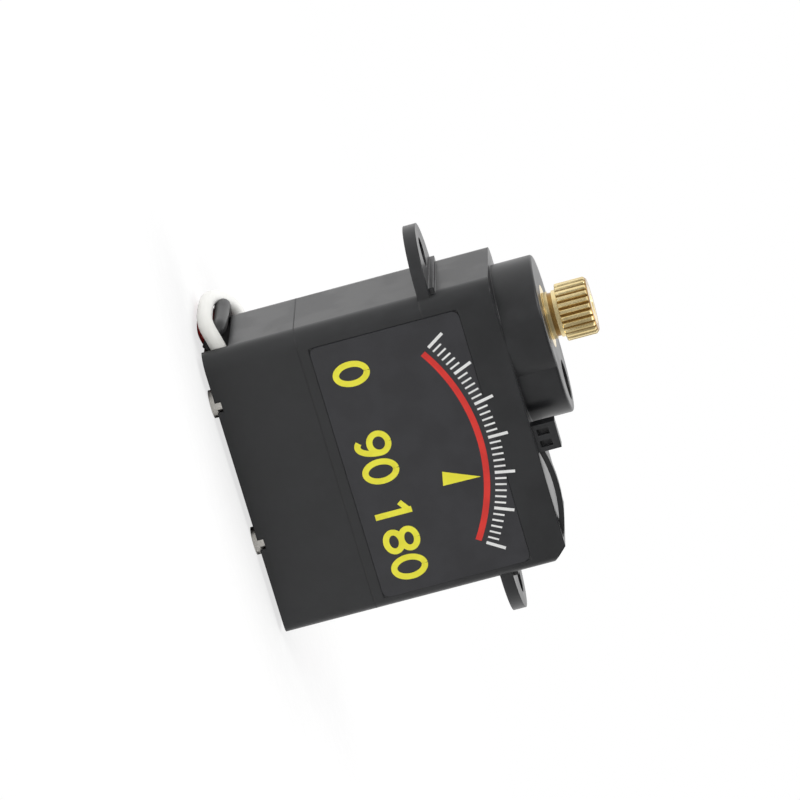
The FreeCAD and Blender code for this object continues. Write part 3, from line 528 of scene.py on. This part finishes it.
@dataclass
class DialPrint:
    """A plain angle dial printed on the label: an arc of ticks, a pointer and three numbers.

    Sizes in millimetres. Every mark is a strip of ink as wide as its pen, along a line worked
    out in the label's plane, X to the right and Z up.
    """

    arc_radius: float = 13.0
    arc_half_angle: float = 33.0
    arc_drop: float = 8.35
    ticks: int = 37
    tick_pen: float = 0.13
    tick_long: float = 1.35
    tick_short: float = 0.75
    band_pen: float = 0.42
    band_gap: float = 0.55
    pointer_length: float = 2.5
    pointer_pen: float = 1.0
    pointer_turn: float = 12.0
    number_height: float = 2.5
    number_pen: float = 0.42
    number_rise: float = 1.0
    lift: float = 0.006
    marks: list[tuple[np.ndarray, np.ndarray, Ink]] = field(default_factory=list)

    def mark(self, line: np.ndarray, pen: float | np.ndarray, ink: Ink) -> None:
        """Keep one strip.

        Args:
            line: rows of X and Z.
            pen: its width, or one width for each row.
            ink: its ink.
        """
        self.marks.append((line, np.broadcast_to(pen, len(line)), ink))

    def on_arc(self, radius: float, degrees: np.ndarray) -> np.ndarray:
        """Points on the dial at a radius, degrees clockwise from straight up."""
        turn = np.radians(degrees)
        return np.stack([radius * np.sin(turn), radius * np.cos(turn) - self.arc_drop], axis=-1)

    def scale(self) -> None:
        """Lay the ticks, every sixth one long, the band under them and the pointer."""
        for index, degrees in enumerate(
                np.linspace(-self.arc_half_angle, self.arc_half_angle, self.ticks)):
            reach = self.tick_short if index % 6 else self.tick_long
            ends = [self.on_arc(self.arc_radius + out, degrees) for out in (0.0, reach)]
            self.mark(np.array(ends), self.tick_pen * (1.0 if index % 6 else 1.6), Ink.WHITE)
        sweep = np.linspace(-self.arc_half_angle, self.arc_half_angle, 49)
        self.mark(self.on_arc(self.arc_radius - self.band_gap, sweep), self.band_pen, Ink.RED)
        tip = self.arc_radius - self.band_gap - self.band_pen
        foot = tip - self.pointer_length
        shaft = [self.on_arc(radius, np.float64(self.pointer_turn))
                 for radius in np.linspace(foot, tip, 9)]
        self.mark(np.array(shaft), self.pointer_pen * np.linspace(1.0, 0.02, 9), Ink.YELLOW)

    def digit(self, name: str, x: float, z: float) -> None:
        """Lay one digit from arcs and straight strokes.

        A nought is an ellipse, an eight two ellipses, a one a stroke with a short flag, and a
        nine an ellipse with a tail that bends in under it.

        Args:
            name: the digit.
            x: its middle along X.
            z: its foot along Z.
        """
        tall = self.number_height - self.number_pen
        wide = 0.27 * self.number_height
        round_trip = np.linspace(0.0, 2 * np.pi, 41)
        middle = z + self.number_pen / 2 + tall / 2

        def ellipse(centre_z: float, half: float, turn: np.ndarray) -> np.ndarray:
            return np.stack([x + wide * np.sin(turn), centre_z + half * np.cos(turn)], axis=-1)

        if name == "0":
            self.mark(ellipse(middle, tall / 2, round_trip), self.number_pen, Ink.YELLOW)
        elif name == "8":
            for side in (-1, 1):
                self.mark(ellipse(middle + side * tall / 4, tall / 4, round_trip),
                          self.number_pen, Ink.YELLOW)
        elif name == "9":
            self.mark(ellipse(middle + tall * 0.2, tall * 0.3, round_trip), self.number_pen,
                      Ink.YELLOW)
            tail = np.linspace(np.pi * 0.5, np.pi * 1.15, 21)
            self.mark(ellipse(middle + tall * 0.2, tall * 0.7, tail), self.number_pen,
                      Ink.YELLOW)
        else:
            stem = np.array([(x, middle - tall / 2 - self.number_pen / 2),
                             (x, middle + tall / 2 + self.number_pen / 2)])
            flag = np.array([(x - wide, middle + tall * 0.27), (x, middle + tall / 2)])
            self.mark(stem, self.number_pen, Ink.YELLOW)
            self.mark(flag, self.number_pen * 0.9, Ink.YELLOW)

    def numbers(self, foot: float) -> None:
        """Lay the three numbers under the scale's ends and middle.

        Args:
            foot: their foot along Z, from the label's middle.
        """
        pitch = 0.78 * self.number_height
        for text, x in (("0", -6.7), ("90", -0.6), ("180", 5.4)):
            for place, name in enumerate(text):
                self.digit(name, x + pitch * (place - (len(text) - 1) / 2), foot)

    def build(self, shelf: FinishShelf) -> bpy.types.Object:
        """Make every strip's faces and join them as one print on the label.

        A strip's two edges are its line moved half a pen to each side, across its heading.

        Args:
            shelf: the finishes.

        Returns:
            The print.
        """
        low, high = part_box("label")
        self.scale()
        self.numbers((low.z - high.z) / 2 / MM + self.number_rise)
        middle = np.array([(low.x + high.x) / 2, (low.z + high.z) / 2]) / MM
        corners: list[np.ndarray] = []
        faces: list[np.ndarray] = []
        inks: list[int] = []
        count = 0
        for order, (line, pen, ink) in enumerate(self.marks):
            heading = np.gradient(line, axis=0)
            heading = heading / np.linalg.norm(heading, axis=1, keepdims=True)
            across = np.stack([-heading[:, 1], heading[:, 0]], axis=-1) * pen[:, None] / 2
            flat = np.stack([line + across, line - across], axis=1).reshape(-1, 2) + middle
            depth = np.full(len(flat), low.y / MM - self.lift * (1 + order / len(self.marks)))
            corners.append(np.stack([flat[:, 0], depth, flat[:, 1]], axis=-1) * MM)
            start = count + 2 * np.arange(len(line) - 1)
            faces.append(np.stack([start, start + 1, start + 3, start + 2], axis=-1))
            inks += [ink.value] * (len(line) - 1)
            count += 2 * len(line)
        mesh = bpy.data.meshes.new("dial_print")
        mesh.from_pydata(np.vstack(corners).tolist(), [], np.vstack(faces).tolist())
        for name in ("ink_white", "ink_yellow", "ink_red"):
            mesh.materials.append(shelf.made[name])
        mesh.polygons.foreach_set("material_index", np.array(inks, dtype=np.int32))
        mesh.update()
        if mesh.polygons[0].normal.y > 0:
            mesh.flip_normals()
        return add_piece("dial_print", mesh, "case")


# ---------------------------------------------------------------------------- seam shade


@dataclass
class CaseSeamShade:
    """Painted shade: thin dark bands for the shaded gaps where the case's three mouldings meet. Sizes
    in millimetres.
    """

    near_radius: float = 1.2
    far_radius: float = 0.7
    gap: float = 0.075
    proud: float = 0.004
    corner_points: int = 12

    def outline(self) -> np.ndarray:
        """Work out the case's outline, four quarter circles joined by straight sides.

        Returns:
            Rows of X and Y, moved outwards by what the line stands proud.
        """
        low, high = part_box("bottom_cover")
        half = np.array([(high.x - low.x) / 2, (high.y - low.y) / 2]) / MM
        runs = []
        for start, side_x, side_y, radius in ((0, 1, 1, self.far_radius),
                                              (1, -1, 1, self.near_radius),
                                              (2, -1, -1, self.near_radius),
                                              (3, 1, -1, self.far_radius)):
            turn = (start + np.linspace(0.0, 1.0, self.corner_points)) * np.pi / 2
            centre = (half - radius) * np.array([side_x, side_y])
            spoke = np.stack([np.cos(turn), np.sin(turn)], axis=-1)
            runs.append(centre + (radius + self.proud) * spoke)
        return np.vstack(runs)

    def build(self, shelf: FinishShelf) -> None:
        """Run a thin dark band of painted shade round the case at each seam, straight up over its
        height.

        Args:
            shelf: the finishes.
        """
        outline = self.outline()
        for name, node in (("cover_seam_shade", "middle_case"), ("deck_seam_shade", "gear_case")):
            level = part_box(node)[0].z / MM
            rise = np.linspace(-0.5, 0.5, 3) * self.gap
            points = np.stack([np.column_stack([outline, np.full(len(outline), level + up)])
                               for up in rise]) * MM
            # painted shade: a dark band standing in for the shade in the seam's gap
            mesh = grid_mesh(name, points, wrap=True)
            mesh.materials.append(shelf.made["grommet_rubber"])
            add_piece(name, mesh, "case")


# ---------------------------------------------------------------------------- lead


@dataclass(frozen=True)
class Wire:
    """One wire of the lead: where it runs before and after its turns, in millimetres."""

    name: str
    slot: str
    level: float
    route: tuple[Point, ...]
    tail: tuple[Point, ...]
    length: float


@dataclass
class Lead:
    """Three soft wires from the grommet to a coil behind the case, and on into the plug.

    Sizes in millimetres. The coil is a helix of three starts, one wire above the other.
    """

    radius: float = 0.525
    coil_centre: tuple[float, float] = (4.0, 11.95)
    coil_radius: float = 5.8
    rise: float = 3.21
    turns: float = 3.1
    turn_points: int = 16

    def wires(self) -> list[Wire]:
        """List the three wires.

        Returns:
            The wires, from the lowest in the coil to the highest.
        """
        return [
            Wire("black_wire", "wire_black", 0.54,
                 ((-9.7, -1.3, 0.75), (-10.3, -1.3, 1.1), (-10.7, -0.7, 1.6),
                  (-10.66, 0.5, 1.66), (-10.64, 2.2, 1.66), (-10.66, 3.8, 1.66),
                  (-10.4, 5.0, 1.65), (-9.5, 5.75, 1.4), (-7.8, 6.17, 1.0),
                  (-6.2, 6.2, 0.6), (-4.6, 6.14, 0.54), (-1.6, 6.16, 0.54), (1.6, 6.15, 0.54)),
                 ((8.1, 13.9, 11.4), (7.6, 14.9, 12.1), (6.8, 15.6, 12.5), (5.5, 15.75, 12.6)),
                 0.144),
            Wire("red_wire", "wire_red", 1.64,
                 ((-9.7, 0.0, 0.75), (-10.2, 0.05, 0.6), (-10.55, 0.6, 0.54),
                  (-10.62, 1.5, 0.54), (-10.66, 2.6, 0.54), (-10.68, 3.59, 0.54),
                  (-10.36, 4.51, 0.54), (-9.44, 5.05, 0.55), (-8.0, 5.08, 0.6),
                  (-5.8, 5.1, 0.9), (-3.2, 5.3, 1.35), (-0.6, 5.75, 1.62), (1.6, 6.12, 1.64)),
                 ((8.9, 15.2, 11.7), (8.0, 16.6, 12.2), (6.9, 17.5, 12.5), (5.5, 17.75, 12.6)),
                 0.143),
            Wire("white_wire", "wire_white", 2.72,
                 ((-9.7, -2.45, 1.5), (-10.5, -2.45, 1.35), (-11.3, -2.0, 1.05),
                  (-11.58, -0.9, 0.9), (-11.52, 0.7, 0.85), (-11.56, 2.3, 0.85),
                  (-11.5, 3.9, 1.0), (-10.9, 5.3, 1.5), (-9.7, 6.2, 2.2),
                  (-7.6, 6.32, 2.4), (-5.2, 6.2, 2.55), (-2.6, 6.12, 2.65), (0.0, 6.12, 2.7),
                  (1.6, 6.15, 2.72)),
                 ((10.1, 16.4, 12.2), (8.6, 18.3, 12.45), (7.0, 19.5, 12.55),
                  (5.5, 19.75, 12.6)),
                 0.148),
        ]

    def coil(self, level: float) -> np.ndarray:
        """Work out one wire's turns.

        The angle grows evenly from the side next to the case, the point goes round the
        coil's centre at its radius, and the height grows by the rise at each turn.

        Args:
            level: the wire's height where its turns start.

        Returns:
            Control points in rows of X, Y and Z.
        """
        turned = np.arange(int(self.turns * self.turn_points) + 1) / self.turn_points
        angle = 2 * np.pi * turned - np.pi / 2
        return np.stack([self.coil_centre[0] + self.coil_radius * np.cos(angle),
                         self.coil_centre[1] + self.coil_radius * np.sin(angle),
                         level + self.rise * turned], axis=-1)

    def build(self, shelf: FinishShelf, frame: dict[str, Any]) -> None:
        """Make the three wires as smooth cords that replace their CAD solids.

        Args:
            shelf: the finishes.
        """
        for wire in self.wires():
            points = np.vstack([wire.route, self.coil(wire.level), wire.tail]) * MM
            curve = bpy.data.curves.new(wire.name + "_cord", "CURVE")
            curve.dimensions = "3D"
            curve.bevel_depth = self.radius * MM
            curve.bevel_resolution = 5
            curve.resolution_u = 6
            curve.use_fill_caps = True
            spline = curve.splines.new("NURBS")
            spline.points.add(len(points) - 1)
            spline.points.foreach_set("co", np.column_stack(
                [points, np.ones(len(points))]).ravel())
            spline.order_u = 3
            spline.use_endpoint_u = True
            curve.materials.append(shelf.made[wire.slot])
            cord = add_piece(wire.name + "_cord", curve, "case")
            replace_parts(cord, wire.name)
            if wire.name == "white_wire":
                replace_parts(cord, "lead_coil")


# ---------------------------------------------------------------------------- studio


@dataclass
class Studio:
    """Camera, lamps, pale floor and backdrop. Lengths in millimetres, angles in degrees."""

    lens: float = 302.846
    azimuth: float = -18.332
    elevation: float = 5.729
    roll: float = 75.148
    distance: float = 447.974
    aim: Point = (-2.385, 0.0, 11.735)
    floor_radius: float = 170.0
    backdrop: float = 1.0
    front_level: float = 0.28

    def camera(self) -> None:
        """Set the camera on its bearing, turned about its own line of sight."""
        turn, lift, roll = (math.radians(value)
                            for value in (self.azimuth, self.elevation, self.roll))
        back = Vector((math.sin(turn) * math.cos(lift), -math.cos(turn) * math.cos(lift),
                       math.sin(lift)))
        level = Vector((math.cos(turn), math.sin(turn), 0.0))
        right = level * math.cos(roll) + back.cross(level) * math.sin(roll)
        up = back.cross(right)
        data = bpy.data.cameras.new("camera")
        data.lens = self.lens
        data.clip_start = 10 * MM
        data.clip_end = 10.0
        eye = bpy.data.objects.new("camera", data)
        place = Vector(self.aim) * MM + back * self.distance * MM
        eye.matrix_world = Matrix.Translation(place) @ Matrix((right, up, back)).transposed().to_4x4()
        bpy.context.scene.collection.objects.link(eye)
        bpy.context.scene.camera = eye

    def lamp(self, name: str, place: Point, size: float, watts: float) -> None:
        """Hang one square soft lamp that faces the servo.

        Args:
            name: its name.
            place: where it hangs.
            size: the length of its sides.
            watts: its power.
        """
        data = bpy.data.lights.new(name, "AREA")
        data.size = size * MM
        data.energy = watts
        lamp = bpy.data.objects.new(name, data)
        lamp.location = Vector(place) * MM
        lamp.rotation_euler = (Vector(place) - Vector(self.aim)).to_track_quat("Z", "Y").to_euler()
        bpy.context.scene.collection.objects.link(lamp)

    def world(self) -> None:
        """Surround the servo with white that falls off behind the camera.

        What the camera sees directly is plain white; what surfaces reflect or gather is white
        behind the servo and dims towards the side that the label faces.
        """
        world = bpy.data.worlds.new("studio")
        bpy.context.scene.world = world
        world.use_nodes = True
        graph = Graph(world.node_tree)
        heading = graph.add("TexCoord").outputs["Generated"]
        parts = graph.add("SeparateXYZ", {}, {"Vector": heading}).outputs
        room = graph.spread(parts["Y"], (-0.75, 0.35), (self.front_level, self.backdrop))
        seen = graph.add("LightPath").outputs["Is Camera Ray"]
        level = graph.add("Mix", {}, {"Factor": seen, "A": room, "B": self.backdrop}).outputs[0]
        shade = graph.add("Background", {}, {"Color": (1.0, 1.0, 1.0, 1.0), "Strength": level})
        out = graph.add("OutputWorld")
        graph.tree.links.new(shade.outputs[0], out.inputs["Surface"])

    def floor_material(self) -> bpy.types.Material:
        """A pale floor that keeps the servo's shadow and meets the backdrop's white.

        Returns:
            The material: matt white near the servo, more and more the backdrop's own white
            towards the rim for what the camera sees.
        """
        made = bpy.data.materials.new("pale_floor")
        made.use_nodes = True
        graph = Graph(made.node_tree)
        at = graph.add("TexCoord").outputs["Object"]
        reach = graph.add("VectorMath", {"operation": "LENGTH"}, {0: at}).outputs["Value"]
        fade = graph.spread(reach, (20 * MM, 0.8 * self.floor_radius * MM), (0.72, 1.0))
        seen = graph.add("LightPath").outputs["Is Camera Ray"]
        share = graph.math("MULTIPLY", fade, seen)
        paper = graph.spread(graph.noise(at, 900.0), (0.3, 0.7), (0.86, 0.9))
        matt = graph.add("BsdfDiffuse", {}, {"Color": paper})
        glow = graph.add("Emission", {}, {"Strength": self.backdrop})
        mix = graph.add("MixShader", {}, {0: share, 1: matt.outputs[0], 2: glow.outputs[0]})
        out = graph.add("OutputMaterial")
        graph.tree.links.new(mix.outputs[0], out.inputs["Surface"])
        return made

    def floor(self) -> None:
        """Lay a round floor: rings of points at even radii, just under the servo's feet."""
        radius = np.linspace(0.0, self.floor_radius, 9)[:, None]
        angle = np.linspace(0.0, 2 * np.pi, 96, endpoint=False)[None, :]
        points = np.stack([radius * np.cos(angle), radius * np.sin(angle),
                           np.full((9, 96), -0.02)], axis=-1) * MM
        mesh = grid_mesh("floor", points, wrap=True)
        if mesh.polygons[0].normal.z < 0:
            mesh.flip_normals()
        mesh.materials.append(self.floor_material())
        floor = bpy.data.objects.new("floor", mesh)
        bpy.context.scene.collection.objects.link(floor)

    def build(self) -> None:
        """Set everything up."""
        bpy.context.scene.view_settings.view_transform = "Standard"
        self.camera()
        self.lamp("key", (-260.0, -230.0, 240.0), 220.0, 0.75)
        self.lamp("top", (90.0, 120.0, 330.0), 260.0, 0.55)
        self.world()
        self.floor()


def corners(box: tuple[Vector, Vector]) -> list[list[float]]:
    """Two corners as plain lists."""
    return [[float(value) for value in corner] for corner in box]


def main() -> None:
    """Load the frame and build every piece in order."""
    logging.basicConfig(level=logging.INFO, format="%(name)s: %(message)s")
    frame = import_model()
    low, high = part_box("output_shaft")
    shelf = FinishShelf(shaft_x=(low.x + high.x) / 2)
    shelf.fill()
    shelf.dress_nodes(frame)
    SplinedShaft().build(shelf)
    DialPrint().build(shelf)
    CaseSeamShade().build(shelf)
    Lead().build(shelf, frame)
    Studio().build()


if __name__ == "__main__":
    main()
